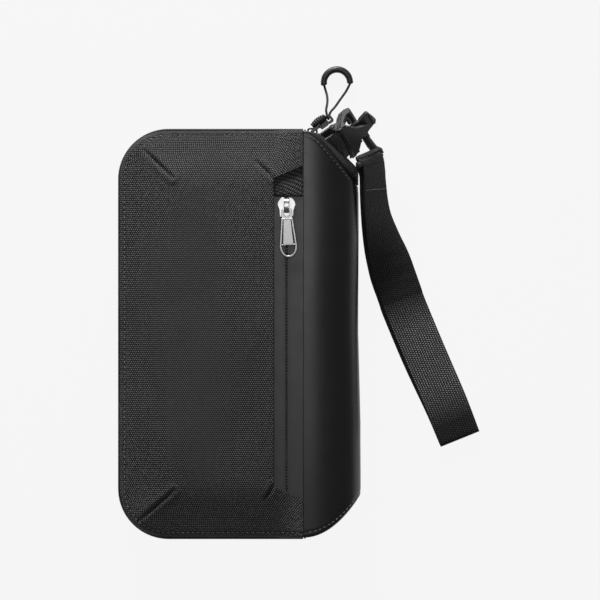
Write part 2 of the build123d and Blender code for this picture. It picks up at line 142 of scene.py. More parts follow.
class Surface:
    """One material, with helpers that chain its nodes."""

    def __init__(self, name, colour, rough):
        self.mat = M[name] = bpy.data.materials.new(name)
        self.mat.use_nodes = True
        self.nodes, self.links = self.mat.node_tree.nodes, self.mat.node_tree.links
        self.shader = self.nodes["Principled BSDF"]
        self.set("Base Color", (*colour, 1))
        self.set("Roughness", rough)

    def set(self, socket, value):
        self.shader.inputs[socket].default_value = value

    def drive(self, socket, source):
        self.links.new(source, self.shader.inputs[socket])

    def math(self, kind, a, b=None, clamp=False):
        node = self.nodes.new("ShaderNodeMath")
        node.operation = kind
        node.use_clamp = clamp
        for socket, value in zip(node.inputs, (a, b)):
            if value is None:
                continue
            if isinstance(value, (int, float)):
                socket.default_value = value
            else:
                self.links.new(value, socket)
        return node.outputs[0]

    def times(self, a, b, clamp=False):
        return self.math("MULTIPLY", a, b, clamp)

    def plus(self, a, b):
        return self.math("ADD", a, b)

    def minus(self, a, b):
        return self.math("SUBTRACT", a, b)

    def axes(self, source, scale):
        """The first two coordinates, in units of the given lengths."""
        coords = self.nodes.new("ShaderNodeTexCoord")
        split = self.nodes.new("ShaderNodeSeparateXYZ")
        self.links.new(coords.outputs[source], split.inputs[0])
        return [self.times(split.outputs[i], 1 / s) for i, s in enumerate(scale)]

    def noise(self, source, scale, detail=2.0):
        coords = self.nodes.new("ShaderNodeTexCoord")
        node = self.nodes.new("ShaderNodeTexNoise")
        node.inputs["Scale"].default_value = scale
        node.inputs["Detail"].default_value = detail
        self.links.new(coords.outputs[source], node.inputs["Vector"])
        return node.outputs["Fac"]

    def colours(self, fac, dark, light):
        node = self.nodes.new("ShaderNodeMix")
        node.data_type = "RGBA"
        node.inputs[6].default_value = (*dark, 1)
        node.inputs[7].default_value = (*light, 1)
        self.links.new(fac, node.inputs[0])
        return node.outputs[2]

    def bump(self, height, strength, distance):
        node = self.nodes.new("ShaderNodeBump")
        node.inputs["Strength"].default_value = strength
        node.inputs["Distance"].default_value = distance
        self.links.new(height, node.inputs["Height"])
        self.drive("Normal", node.outputs[0])


def grey(value, tint=0.0):
    return (value, value, value * (1 + tint))


# Reach and fade, in millimetres along the band, of the glossy stretch and its painted highlight.
GLOSS_AND_HIGHLIGHT_REACH = 16.0
GLOSS_AND_HIGHLIGHT_FADE = 18.0


def woven(name, pitch, dark, light, rough=0.62, lean=0.0, source="UV", depth=0.22, gloss_and_highlight_at=None):
    """Plain weave of pillows and dark gaps; where asked, glossier about one place, with a painted highlight
    there: lighter base colour that fades away from it.
    """
    s = Surface(name, grey(light), rough)
    u, v = s.axes(source, (pitch[0] * MM, pitch[1] * MM))
    if lean:
        v = s.plus(v, s.times(u, lean))
    shift = s.times(s.math("MODULO", s.math("FLOOR", v), 2.0), 0.5)
    across = s.math("SINE", s.times(s.math("FRACT", s.plus(u, shift)), pi))
    along = s.math("SINE", s.times(s.math("FRACT", v), pi))
    pillow = s.times(across, along)
    uneven = s.plus(s.times(s.noise(source, 700.0, 1.0), 0.7), 0.65)
    worn = s.plus(s.times(s.noise(source, 38.0, 3.0), 0.5), 0.75)
    shade = s.times(s.math("POWER", pillow, 2.4), s.times(uneven, worn), True)
    # Painted highlight: about the given place the base colour is lighter and darker away from it, standing
    # in for light on the band; the roughness also drops there.
    if gloss_and_highlight_at:
        away = s.math("ABSOLUTE", s.minus(s.times(u, pitch[0]), gloss_and_highlight_at))
        off_gloss_and_highlight = s.times(s.minus(away, GLOSS_AND_HIGHLIGHT_REACH), 1 / GLOSS_AND_HIGHLIGHT_FADE, True)
        s.drive("Roughness", s.plus(s.times(off_gloss_and_highlight, 0.5), rough))
        shade = s.times(shade, s.minus(1.0, s.times(off_gloss_and_highlight, 0.9)))
    s.drive("Base Color", s.colours(shade, grey(dark), grey(light, 0.03)))
    s.set("Sheen Weight", 0.0 if gloss_and_highlight_at else 0.05)
    s.set("Sheen Roughness", 0.4)
    s.set("Specular IOR Level", 0.35 if gloss_and_highlight_at else 0.25)
    s.bump(pillow, 1.0, depth * MM)


def ribbed(name, rib, dark, light, rough=0.5, chevron=4.0):
    """Slanted ribs that turn back in a herringbone across a band."""
    s = Surface(name, grey(light), rough)
    u, v = s.axes("UV", (rib * MM, chevron * MM))
    fold = s.math("ABSOLUTE", s.minus(s.math("FRACT", v), 0.5))
    wave = s.math("SINE", s.times(s.plus(u, s.times(fold, 3.0)), 2 * pi))
    height = s.plus(s.times(wave, 0.5), 0.5)
    shade = s.times(height, s.times(s.noise("UV", 1400.0, 1.0), 1.8), True)
    s.drive("Base Color", s.colours(shade, grey(dark), grey(light, 0.03)))
    s.set("Sheen Weight", 0.02)
    s.bump(height, 0.7, 0.16 * MM)


def grained(name, colour, rough, scale, depth, spread=0.25, metallic=0.0, gloss=0.5):
    """A smooth surface with fine grain and faint mottling."""
    s = Surface(name, grey(colour), rough)
    mottle = s.noise("Object", 60.0, 3.0)
    s.drive("Base Color", s.colours(mottle, grey(colour * (1 - spread)), grey(colour * (1 + spread))))
    s.drive("Roughness", s.plus(s.times(s.noise("Object", 140.0, 2.0), 0.12), rough - 0.06))
    s.set("Metallic", metallic)
    s.set("Specular IOR Level", gloss)
    s.bump(s.noise("Object", scale, 2.0), 0.5, depth * MM)


NYLON_PITCH = (1.09, 0.98)


def make_materials():
    woven("nylon", NYLON_PITCH, 0.005, 0.19)
    woven("nylon_side", NYLON_PITCH, 0.005, 0.16)
    woven("garage", (1.9, 0.95), 0.004, 0.13, lean=-0.95)
    grained("coated", 0.011, 0.34, 2600.0, 0.02, 0.12)
    grained("tape", 0.02, 0.4, 3000.0, 0.03, 0.12)
    ribbed("zip_tape", 0.7, 0.006, 0.02, 0.7, 1.6)
    grained("coil", 0.012, 0.35, 900.0, 0.02)
    grained("thread", 0.08, 0.5, 4000.0, 0.05)
    woven("lining", (0.5, 0.5), 0.03, 0.09, 0.7, source="Object", depth=0.06)
    grained("foam", 0.06, 0.8, 900.0, 0.08)
    grained("gunmetal", 0.42, 0.3, 1600.0, 0.0006, 0.04, 1.0)
    grained("black_metal", 0.03, 0.3, 1500.0, 0.001, 0.1, 0.9)
    # Near-black: the dart seams, darkened further as painted shade of the creases.
    grained("seam_and_crease_shade", 0.003, 0.8, 4000.0, 0.02)
    grained("plastic", 0.034, 0.42, 3200.0, 0.008, gloss=0.22)
    ribbed("cord", 0.8, 0.003, 0.018, 0.6, 1.0)
    grained("rubber", 0.008, 0.42, 2400.0, 0.02)
    # The strap's light colour 0.36 shows only at the painted highlight about 102 mm along the band.
    woven("webbing", (1.15, 1.2), 0.002, 0.36, 0.3, depth=0.12, gloss_and_highlight_at=102.0)
    # A much darker copy of the nylon: painted shade for the top end wall beside the hook.
    woven("nylon_painted_shade", NYLON_PITCH, 0.003, 0.025)
    ribbed("webbing_rib", 0.95, 0.003, 0.07, 0.5, 400.0)


# ---- mesh building blocks ----


def finish_piece(obj, mat, body, nodes=(), smooth=True):
    """Gives a piece its material, its body and the CAD nodes that it stands for."""
    bpy.context.collection.objects.link(obj)
    obj.data.materials.append(M[mat])
    if smooth and obj.type == "MESH":
        for face in obj.data.polygons:
            face.use_smooth = True
    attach(obj, body)
    if nodes:
        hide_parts(*nodes)
    return obj


def mesh_object(name, points, faces, uvs=None):
    """A mesh from points in millimetres, with a map of the cloth in metres."""
    mesh = bpy.data.meshes.new(name)
    mesh.from_pydata([tuple(c * MM for c in p) for p in points], [], faces)
    if uvs:
        layer = mesh.uv_layers.new(name="cloth")
        for loop in mesh.loops:
            layer.data[loop.index].uv = uvs[loop.vertex_index]
    mesh.validate()
    mesh.update()
    return bpy.data.objects.new(name, mesh)


def lengths_along(line):
    """How far each point of a line is from its start, measured along it."""
    out = [0.0]
    for a, b in zip(line, line[1:]):
        out.append(out[-1] + (Vector(b) - Vector(a)).length)
    return out


def grid_object(name, rows, flip=False, skip=None):
    """A sheet from rows of points, mapped by the lengths along its rows and columns."""
    count = len(rows[0])
    points = [p for row in rows for p in row]
    us = lengths_along(rows[len(rows) // 2])
    vs = lengths_along([row[count // 2] for row in rows])
    uvs = [(u * MM, v * MM) for v in vs for u in us]
    faces = []
    for j in range(len(rows) - 1):
        for i in range(count - 1):
            if skip and skip(rows[j][i], rows[j + 1][i + 1]):
                continue
            quad = (j * count + i, j * count + i + 1, (j + 1) * count + i + 1, (j + 1) * count + i)
            faces.append(quad[::-1] if flip else quad)
    return mesh_object(name, points, faces, uvs)


def bevel(obj, width, segments=2, hard=False):
    mod = obj.modifiers.new("edges", "BEVEL")
    mod.width = width * MM
    mod.segments = segments
    mod.limit_method = "ANGLE"
    mod.angle_limit = radians(35)
    mod.harden_normals = hard


def cloth_piece(name, rows, mat, body, nodes=(), thick=1.0, offset=-1.0, edge=None, flip=False, skip=None):
    """A sheet with a thickness behind its face (offset -1), in front of it (1) or round it (0)."""
    sheet = grid_object(name, rows, flip, skip)
    mod = sheet.modifiers.new("thickness", "SOLIDIFY")
    mod.thickness = thick * MM
    mod.offset = offset
    if edge:
        bevel(sheet, edge)
    return finish_piece(sheet, mat, body, nodes)


def prism_mesh(outline, low, high):
    """A closed polygon between two heights, as points and faces."""
    n = len(outline)
    points = [(x, y, z) for z in (low, high) for x, y in outline]
    faces = [tuple(range(n))[::-1], tuple(range(n, 2 * n))]
    faces += [(i, (i + 1) % n, n + (i + 1) % n, n + i) for i in range(n)]
    return points, faces


def join_shapes(shapes):
    """Several (points, faces) lists as one."""
    points, faces = [], []
    for more, quads in shapes:
        start = len(points)
        points += [tuple(p) for p in more]
        faces += [tuple(start + i for i in q) for q in quads]
    return points, faces


def moved(shape, matrix):
    points, faces = shape
    return [tuple(matrix @ Vector(p)) for p in points], faces


def solid_piece(name, shapes, mat, body, nodes=(), edge=None, turn=None):
    """Closed shapes as one piece, moved by a matrix, with edges rounded by (width, segments)."""
    shape = join_shapes(shapes)
    if turn is not None:
        shape = moved(shape, turn)
    obj = mesh_object(name, *shape)
    if edge:
        bevel(obj, *edge, True)
    return finish_piece(obj, mat, body, nodes)


def block(x0, x1, y0, y1, z0, z1):
    return prism_mesh([(x0, y0), (x1, y0), (x1, y1), (x0, y1)], z0, z1)


def tube_mesh(path, radius, sides=12, cap=True):
    """A round tube along points, with one radius or one for each point."""
    path = [Vector(p) for p in path]
    radii = radius if isinstance(radius, list) else [radius] * len(path)
    points, faces = [], []
    side = None
    for i, here in enumerate(path):
        ahead = (path[min(i + 1, len(path) - 1)] - path[max(i - 1, 0)]).normalized()
        if side is None:
            side = ahead.orthogonal().normalized()
        side = (side - ahead * side.dot(ahead)).normalized()
        up = ahead.cross(side)
        for k in range(sides):
            a = 2 * pi * k / sides
            points.append(here + (side * cos(a) + up * sin(a)) * radii[i])
    for i in range(len(path) - 1):
        for k in range(sides):
            n = (k + 1) % sides
            faces.append((i * sides + k, i * sides + n, (i + 1) * sides + n, (i + 1) * sides + k))
    if cap:
        faces.append(tuple(range(sides))[::-1])
        last = (len(path) - 1) * sides
        faces.append(tuple(range(last, last + sides)))
    return points, faces


def ramp(a, b, count):
    """Even steps from a to b, both included."""
    return [a + (b - a) * i / count for i in range(count + 1)]


def arc(centre, radius, start, end, steps):
    """Points of an arc in the plane, by angles in degrees."""
    angles = [radians(a) for a in ramp(start, end, steps)]
    return [(centre[0] + radius * cos(a), centre[1] + radius * sin(a)) for a in angles]


def stitches(name, spots, body, length=1.7, thick=0.24):
    """A row of stitches: one short thread hump at each (place, direction, normal)."""
    shapes = []
    for place, along, normal in spots:
        along, normal, place = along.normalized(), normal.normalized(), Vector(place)
        path, radii = [], []
        for t in ramp(-0.5, 0.5, 4):
            lift = thick * (0.55 - 2.6 * t * t)
            path.append(place + along * (t * length) + normal * lift)
            radii.append(thick * (1.0 - 1.6 * t * t))
        shapes.append(tube_mesh(path, radii, 6))
    solid_piece(name, shapes, "thread", body)


def spaced(points, pitch):
    """Places and directions at an even pitch along a line of points."""
    points = [Vector(p) for p in points]
    out, left = [], pitch / 2
    for a, b in zip(points, points[1:]):
        run = (b - a).length
        while left < run:
            out.append((a + (b - a) * (left / run), b - a))
            left += pitch
        left -= run
    return out


# ---- the pouch's outline and the height of its front ----


def smooth_min(a, b, k):
    """The lower of two values, rounded off where they are close."""
    h = max(0.0, min(1.0, 0.5 + 0.5 * (b - a) / k))
    return b + (a - b) * h - k * h * (1 - h)


def smooth_step(t):
    t = max(0.0, min(1.0, t))
    return t * t * (3 - 2 * t)


def rim_path(inset, right, step=1.6):
    """Points round the top, left and bottom, from the right end at the top."""
    y, r = HALF - inset, CORNER - inset
    cx, cy = LEFT + CORNER, HALF - CORNER
    count = int((right - cx) / step)
    top = [(right - (right - cx) * i / count, y) for i in range(count)]
    side_count = int(2 * cy / step)
    side = [(LEFT + inset, cy - 2 * cy * i / side_count) for i in range(1, side_count)]
    bottom = [(x, -q) for x, q in reversed(top)]
    return top + arc((cx, cy), r, 90, 180, 22) + side + arc((cx, -cy), r, 180, 270, 22) + bottom


def left_edge(y):
    """The outline's x on the left, at y."""
    over = max(0.0, abs(y) - (HALF - CORNER))
    return LEFT + CORNER - sqrt(max(0.0, CORNER * CORNER - over * over))


def rim_distance(x, y):
    """How far a place on the front is inside the outline."""
    cx, cy = LEFT + CORNER, HALF - CORNER
    if x < cx and abs(y) > cy:
        return CORNER - hypot(x - cx, abs(y) - cy)
    return min(x - LEFT, HALF - abs(y))


def segment_distance(x, y, a, b):
    """The distance to the line from a to b, and the share of the way along it."""
    ax, ay, bx, by = *a, *b
    t = ((x - ax) * (bx - ax) + (y - ay) * (by - ay)) / ((bx - ax) ** 2 + (by - ay) ** 2)
    t = max(0.0, min(1.0, t))
    return hypot(x - ax - t * (bx - ax), y - ay - t * (by - ay)), t


PLATEAU_LEFT = -33.0
PLATEAU_Y = 77.0
FOLD_TOP = 76.4
FOLD_BOTTOM = -74.5
DARTS = [
    ((-46.4, 90.4), (-32.4, 76.8)),
    ((-48.5, -91.2), (-31.6, -76.6)),
    ((8.4, 85.0), (POCKET_X, FOLD_TOP)),
    ((12.4, -81.4), (POCKET_X, FOLD_BOTTOM)),
]


def fold_top(x):
    """The folded nylon edge above the pocket zip."""
    return FOLD_TOP + max(0.0, x - POCKET_X) * 0.43


def fold_bottom(x):
    """The folded nylon edge below the pocket zip."""
    return FOLD_BOTTOM - max(0.0, x - POCKET_X) * 0.45


def front_height(x, y):
    """The nylon front: a puffed plateau, sloping sides, stitched darts and a rolled rim."""
    rise = PLATEAU - RIM
    left = RIM + rise * (x - LEFT) / (PLATEAU_LEFT - LEFT)
    reach = HALF - PLATEAU_Y
    ends = RIM + rise * (HALF - abs(y)) / reach
    z = smooth_min(smooth_min(left, ends, 1.0), PLATEAU, 1.6)
    crown = max(0.0, 1 - ((x + 8) / 36) ** 2) * max(0.0, 1 - (y / 84) ** 2)
    z += 0.9 * crown
    if x > POCKET_X:
        z += (SPINE_H - 0.5 - z) * smooth_step((x - POCKET_X) / (SEAM - POCKET_X))
    z += 0.28 * noise.noise(Vector((x / 26, y / 34, 1.7)))
    z += 0.10 * noise.noise(Vector((x / 8, y / 11, 5.1)))
    for a, b in DARTS:
        d, t = segment_distance(x, y, a, b)
        z -= (0.3 + 0.8 * sin(pi * min(1.0, t * 1.1))) * exp(-((d / 0.7) ** 2))
        z += 0.45 * t * exp(-(((d - 2.0) / 1.3) ** 2))
    d = rim_distance(x, y)
    z -= 1.2 * exp(-d / 0.8)
    z -= 0.35 * exp(-(((d - STITCH_INSET) / 0.6) ** 2))
    return z


def front_rows_y():
    """Row heights from bottom to top, closer together round the corners and at the folds."""
    corner = [HALF - CORNER + CORNER * sin(radians(90 * i / 52)) for i in range(53)]
    upper = ramp(0, FOLD_TOP, 124) + [c for c in corner if c > FOLD_TOP + 0.3]
    lower = ramp(FOLD_BOTTOM, 0, 120)[:-1]
    return [-c for c in reversed(corner) if c > 0.3 - FOLD_BOTTOM] + lower + upper


def build_front():
    """The front's one nylon sheet, with a window for the pocket zip."""
    xs_right = [POCKET_X + 0.02] + ramp(POCKET_X + 0.6, COVER_RIGHT, 16)
    rows = []
    for y0 in front_rows_y():
        row = []
        x0 = left_edge(y0)
        for t in ramp(0, 1, 127):
            x = x0 + (POCKET_X - x0) * t ** 1.1
            row.append((x, y0, front_height(x, y0)))
        for x in xs_right:
            y = y0
            if y0 >= FOLD_TOP - 0.01:
                y = fold_top(x) + (y0 - FOLD_TOP) * (HALF - fold_top(x)) / (HALF - FOLD_TOP)
            elif y0 <= FOLD_BOTTOM + 0.01:
                y = fold_bottom(x) + (y0 - FOLD_BOTTOM) * (HALF + fold_bottom(x)) / (HALF + FOLD_BOTTOM)
            row.append((x, y, front_height(x, y)))
        rows.append(row)

    def in_window(a, b):
        return a[0] > POCKET_X - 0.01 and b[1] > FOLD_BOTTOM + 0.05 and a[1] < FOLD_TOP - 0.05

    sheet = cloth_piece("front_nylon", rows, "nylon", "front_cover", ["front_panel", "zip_garage_bottom"],
                        1.3, edge=0.35, skip=in_window)


def build_dart_seams_and_shade():
    """The sewn line at the bottom of each dart's crease, as a near-black tube that is thickest mid-length:
    partly the seam, partly painted shade of the crease.
    """
    shapes = []
    for (ax, ay), (bx, by) in DARTS:
        line = [(ax + (bx - ax) * t, ay + (by - ay) * t) for t in ramp(0.04, 0.97, 24)]
        path = [(x, y, front_height(x, y) - 0.02) for x, y in line]
        radii = [0.3 * sin(pi * (i + 1) / 27) ** 0.4 for i in range(25)]
        shapes.append(tube_mesh(path, radii, 8))
    solid_piece("dart_seams_and_shade", shapes, "seam_and_crease_shade", "front_cover")


def build_pocket_fold():
    """The turned-in edge of the pocket beside the zip."""
    profile = [(-1.6, 0.0), (-0.5, -0.05), (0.05, -0.35), (0.28, -0.95), (0.15, -1.6), (-0.5, -2.1)]
    rows = []
    for y in ramp(FOLD_BOTTOM - 0.5, FOLD_TOP + 0.5, 110):
        top = front_height(POCKET_X - 0.6, y)
        heights = [max(top + dz, STRIP_Z + 0.12 + (dz + 2.1) * 0.1) for dx, dz in profile]
        rows.append([(POCKET_X + dx, y, z) for (dx, dz), z in zip(profile, heights)])
    cloth_piece("pocket_fold", rows, "nylon", "front_cover", thick=0.5)


def build_garage():
    """The ribbed patch between the fold and the top of the pocket zip."""
    rows = []
    low = STRIP_TOP + 0.2
    for t in ramp(0, 1, 14):
        row = []
        for x in ramp(POCKET_X - 0.6, SEAM - 0.4, 16):
            y = low + (fold_top(x) + 1.5 - low) * t
            bulge = 0.5 * sin(pi * (x - POCKET_X) / (SEAM - POCKET_X))
            z = STRIP_Z + 0.75 + 0.5 * t + bulge * (1 - 0.6 * t) - 0.5 * exp(-t / 0.03)
            row.append((x, y, min(z, front_height(x, y) - 0.6 - 1.2 * t)))
        rows.append(row)
    cloth_piece("zip_garage", rows, "garage", "front_cover", ["zip_garage_top"], 0.7)


NOTCH_PITCH = 1.52
COIL_PITCH = 1.42


def build_pocket_tapes():
    """The coated tapes with their edges turned in and notched at the slit."""
    for side, name in ((-1, "left"), (1, "right")):
        far = POCKET_X - 0.8 if side < 0 else SEAM - 0.12
        columns = [0, 0.02, 0.05] + ramp(0, 1, 14)[1:-1] + [0.99, 0.998, 1.0]
        rows = []
        for y in ramp(STRIP_BOTTOM - 4.5, STRIP_TOP + 1.5, 900):
            row = []
            notch = (0.5 + 0.5 * cos(2 * pi * y / NOTCH_PITCH)) ** 4
            for t in columns:
                d = 0.01 + 0.42 * notch * (1 - t) ** 3 + abs(far - SLIT) * t ** 1.7
                x = SLIT + side * d
                z = STRIP_Z - 0.6 * notch * exp(-d / 0.25)
                z += 0.06 * noise.noise(Vector((x / 9, y / 16, side)))
                z += 0.10 * exp(-(((d - 1.0) / 0.45) ** 2))
                row.append((x, y, z))
            rows.append(row)
        cloth_piece(f"pocket_tape_{name}_skin", rows, "tape", "front_cover", [f"pocket_tape_{name}"], 0.5,
                    flip=side < 0)


def build_pocket_coil():
    """The reversed coil under the slit: a row of small hooks from each side."""
    hook = [(1.9, 0.0, -1.3), (0.5, 0.1, -0.95), (-0.12, 0.36, -0.62), (0.5, 0.6, -0.95), (1.9, 0.7, -1.3)]
    shapes = []
    y = STRIP_BOTTOM + 0.5
    while y < STRIP_TOP - 0.5:
        for side in (-1, 1):
            path = [(SLIT + side * dx, y + dy, STRIP_Z + dz) for dx, dy, dz in hook]
            shapes.append(tube_mesh(path, 0.24, 6))
        y += COIL_PITCH
    solid_piece("pocket_coil", shapes, "coil", "front_cover", ["pocket_coil_left", "pocket_coil_right"])


# ---- spine ----


def spine_end(x, side):
    """How far the spine reaches along the pouch at x."""
    if side > 0:
        return smooth_min(HALF - 0.4, 99.4 - 1.17 * (x - 36.6), 5.0)
    return HALF - 0.3 - 0.027 * max(0.0, x - SEAM) ** 2


def spine_point(angle, share):
    """A place on the spine's skin: angle from the front edge, share of the way to its end."""
    bulge = min(1.1, max(0.0, -2.0 * share))
    a = radians(90 - angle)
    x, z = SEAM + (SPINE_R + bulge) * cos(a), ZIP_Z + ZIP_Z * sin(a)
    reach = spine_end(SEAM + SPINE_R * cos(a), share)
    y = reach * share
    swell = 0.35 * noise.noise(Vector((angle / 70, y / 55, 3.3))) * (1 - abs(share) ** 6)
    end = reach - abs(y)
    tuck = -0.7 * exp(-end / 0.8) - 0.12 * exp(-(((end - STITCH_INSET) / 0.6) ** 2))
    grow = swell + tuck
    return (x + grow * cos(a), y, z + grow * sin(a))


def build_spine():
    """The coated panel, with its long edges turned in beside the nylon of the front and back."""
    angles = [0, 0.3, 1.0] + ramp(3, 177, 58) + [179.0, 179.7, 180]
    front_turn = [(0.5, -1.1), (-0.1, -0.9), (-0.25, -0.4), (-0.05, 0.05)]
    back_turn = [(-0.2, 0.15), (-0.2, 0.9)]
    rows = []
    for share in [sin(radians(90 * t)) for t in ramp(-1, 1, 120)]:
        first, last = Vector(spine_point(0, share)), Vector(spine_point(180, share))
        row = [tuple(first + Vector((dx, 0, dz))) for dx, dz in front_turn]
        row += [spine_point(a, share) for a in angles]
        row += [tuple(last + Vector((dx, 0, dz))) for dx, dz in back_turn]
        rows.append(row)
    cloth_piece("spine_skin", rows, "coated", "root", ["spine_panel"], 1.2, edge=0.3)


def build_spine_stitches():
    """The stitches along the spine's ends, on both sides."""
    for end, name in ((1, "top"), (-1, "bottom")):
        for first, last, part in ((4, 62, "front"), (118, 176, "back")):
            line = []
            for a in ramp(first, last, 40):
                reach = spine_end(SEAM + SPINE_R * sin(radians(a)), end)
                line.append(spine_point(a, end * (reach - STITCH_INSET) / reach))
            spots = []
            for place, along in spaced(line, STITCH_PITCH):
                out = Vector((place.x - SEAM, 0, (place.z - ZIP_Z) * SPINE_R ** 2 / ZIP_Z ** 2))
                spots.append((place, along, out))
            stitches(f"spine_stitch_{name}_{part}", spots, "root")


SLIDER_ROOM_X = 41.0
SLIDER_ROOM_Z = 6.4


def build_spine_caps():
    """The nylon walls at the spine's ends, with room at the top for the main slider; the top wall is a much
    darker copy of the nylon, as painted shade.
    """
    # The top wall takes the darker copy of the nylon, which is painted shade.
    for end, name, mat in ((1, "top", "nylon_painted_shade"), (-1, "bottom", "nylon_side")):
        rows = []
        reach = SPINE_X - (0.9 if end > 0 else 0.2)
        cut = CUT_SUM + (2.0 if end > 0 else 0.0)
        for x in ramp(SEAM - 0.8, reach, 34):
            half = (ZIP_Z - 1.2) * sqrt(max(0.0, 1 - ((x - SEAM) / (reach - SEAM + 0.1)) ** 2))
            y = spine_end(x, end) - 0.9
            swell = max(0.0, smooth_min(HALF, cut - x, 5.0) - 1.4 - y)
            rows.append([(x, end * (y + swell * cos(t * pi / 2) ** 0.6), ZIP_Z + half * t)
                         for t in ramp(-1, 1, 22)])

        def at_slider(a, b, end=end):
            heights = abs(a[2] - ZIP_Z), abs(b[2] - ZIP_Z)
            return end > 0 and a[0] < SLIDER_ROOM_X and max(heights) < SLIDER_ROOM_Z

        cloth_piece(f"spine_end_{name}", rows, mat, "root", [f"spine_cap_{name}"], 0.9, flip=end > 0,
                    skip=at_slider)


# ---- gusset, main zip and back ----


def sweep_rim(name, profile, mat, body, node, thick):
    """A wall swept round the rim from (inset, height) pairs."""
    paths = [rim_path(inset, COVER_RIGHT) for inset, z in profile]
    rows = [[(x, y, z) for x, y in path] for path, (inset, z) in zip(paths, profile)]
    cloth_piece(name, rows, mat, body, [node], thick, 1.0)


def build_gusset():
    """The bulged nylon walls of both halves and the zip's two tapes."""
    front = [(0.55, RIM - 1.35), (0.1, RIM - 2.2), (0.0, RIM - 3.6), (0.25, 20.4), (0.7, 18.9), (1.6, 18.1),
             (2.6, 18.0)]
    back = [(2.6, 12.0), (1.6, 11.9), (0.7, 11.1), (0.25, 9.6), (0.0, 6.5), (0.1, 3.2), (0.6, 1.5)]
    upper, lower = [(TAPE_INSET, 20.5), (TAPE_INSET, 16.2)], [(TAPE_INSET, 13.8), (TAPE_INSET, 9.5)]
    sweep_rim("front_gusset_wall", front, "nylon_side", "front_cover", "front_gusset", -0.9)
    sweep_rim("back_gusset_wall", back, "nylon_side", "root", "back_gusset", -0.9)
    sweep_rim("front_tape_band", upper, "zip_tape", "front_cover", "front_zip_tape", 0.5)
    sweep_rim("back_tape_band", lower, "zip_tape", "root", "back_zip_tape", 0.5)


TOOTH_PITCH = 2.0
LYING = Matrix(((1, 0, 0), (0, 0, 1), (0, -1, 0)))


def tooth(place, along, up):
    """One zip tooth: a small shouldered block that reaches past the middle line."""
    out = Vector((along.y, -along.x, 0))
    turn = Matrix((along, out, Vector((0, 0, up)))).transposed()
    half = [(0.42, -0.15), (0.55, -0.6), (0.36, -1.5), (0.36, -2.3)]
    points, faces = prism_mesh(half + [(-x, y) for x, y in reversed(half)], -0.75, 0.75)
    return [tuple(place + turn @ (LYING @ Vector(p))) for p in points], faces


def build_teeth():
    """The two rows of teeth, which mesh half a pitch apart."""
    line = [(x, y, ZIP_Z) for x, y in rim_path(TAPE_INSET, SEAM - 0.6)]
    for up, body, node, shift in ((1, "front_cover", "front_zip_teeth", 0.0),
                                  (-1, "root", "back_zip_teeth", TOOTH_PITCH / 2)):
        shapes = []
        for place, along in spaced(line, TOOTH_PITCH):
            ahead = along.normalized()
            shapes.append(tooth(place + ahead * shift + Vector((0, 0, -0.6 * up)), ahead, up))
        row = mesh_object(f"{node}_row", *join_shapes(shapes))
        finish_piece(row, "coil", body, [node], False)


def build_back():
    """The nylon back, flat on the floor with a rolled and stitched rim."""
    rows = []
    for y0 in front_rows_y():
        x0 = left_edge(y0)
        row = []
        for x in ramp(x0, SEAM - 0.3, 59):
            d = rim_distance(x, y0)
            z = 0.12 + 1.5 * exp(-d / 0.9)
            z += 0.9 * smooth_step((x - SEAM + 4) / 3.4)
            z += 0.14 * exp(-(((d - STITCH_INSET) / 0.6) ** 2))
            row.append((x, y0, z))
        rows.append(row)
    cloth_piece("back_nylon", rows, "nylon", "root", ["back_panel"], flip=True)


def build_topstitch():
    """The seam stitched round the front and the back, a little inside the rim."""
    path = rim_path(STITCH_INSET, SEAM - 1.0, 0.8)
    front = [(x, y, front_height(x, y)) for x, y in path]
    spots = [(place, along, Vector((0, 0, 1))) for place, along in spaced(front, STITCH_PITCH)]
    stitches("front_topstitch", spots, "front_cover", thick=0.3)
    back = [(x, y, 0.3) for x, y in path]
    spots = [(place, along, Vector((0, 0, -1))) for place, along in spaced(back, STITCH_PITCH)]
    stitches("back_topstitch", spots, "root", thick=0.16)


# ---- main zip slider, pull, cord and grip ----


def joint_place(name):
    """A joint's place in millimetres."""
    return Vector(JOINTS[name]["pos_m"]) / MM


def arch_shape(length, width, height, thick):
    """A bridge along x, standing on z = 0: a rounded bar swept over half a stadium."""
    run = length / 2 - thick / 2
    top = height - thick / 2
    bend = [(0.9 - 0.9 * cos(a), top * 0.55 + top * 0.45 * sin(a)) for a in (0.5, 1.05, 1.5)]
    half = [(0, -0.2), (0, top * 0.55)] + bend
    path = [(-run + dx, 0, z) for dx, z in half] + [(run - dx, 0, z) for dx, z in reversed(half)]
    points, faces = tube_mesh(path, thick / 2, 10)
    return [(x, y * width / thick, z) for x, y, z in points], faces


def build_main_slider():
    """Two plates on edge, the post between them and the crown that holds the pull."""
    low, high = size("main_slider_body")
    x0, x1, z0, z1 = low[0], high[0], low[2], high[2]
    out, inn = high[1] - 3.0, low[1]
    mid = (x0 + x1) / 2
    face = [(x0, z0 + 1.2), (mid - 0.4, z0 + 0.3), (x1 - 2.2, z0), (x1, z0 + 1.4),
            (x1, z1 - 1.4), (x1 - 2.2, z1), (mid - 0.4, z1 - 0.3), (x0, z1 - 1.2)]
    stand = Matrix(((1, 0, 0), (0, 0, 1), (0, 1, 0)))
    plates = [moved(prism_mesh(face, y, y + 1.0), stand) for y in (out - 1.0, inn)]
    post = block(mid + 1.6, mid + 4.2, inn + 0.5, out - 0.4, ZIP_Z - 0.4, ZIP_Z + 0.4)
    points, faces = arch_shape(5.4, 1.7, 2.9, 0.95)
    pivot = joint_place("main_pull_swing")
    crown = [tuple(LYING @ Vector(p) + Vector((pivot.x, out, ZIP_Z))) for p in points], faces
    solid_piece("main_slider_shell", plates + [post, crown], "black_metal", "main_slider",
                ["main_slider_body"], (0.28, 3))


TAB_ANGLE = 36.0
TAB_L = 12.0


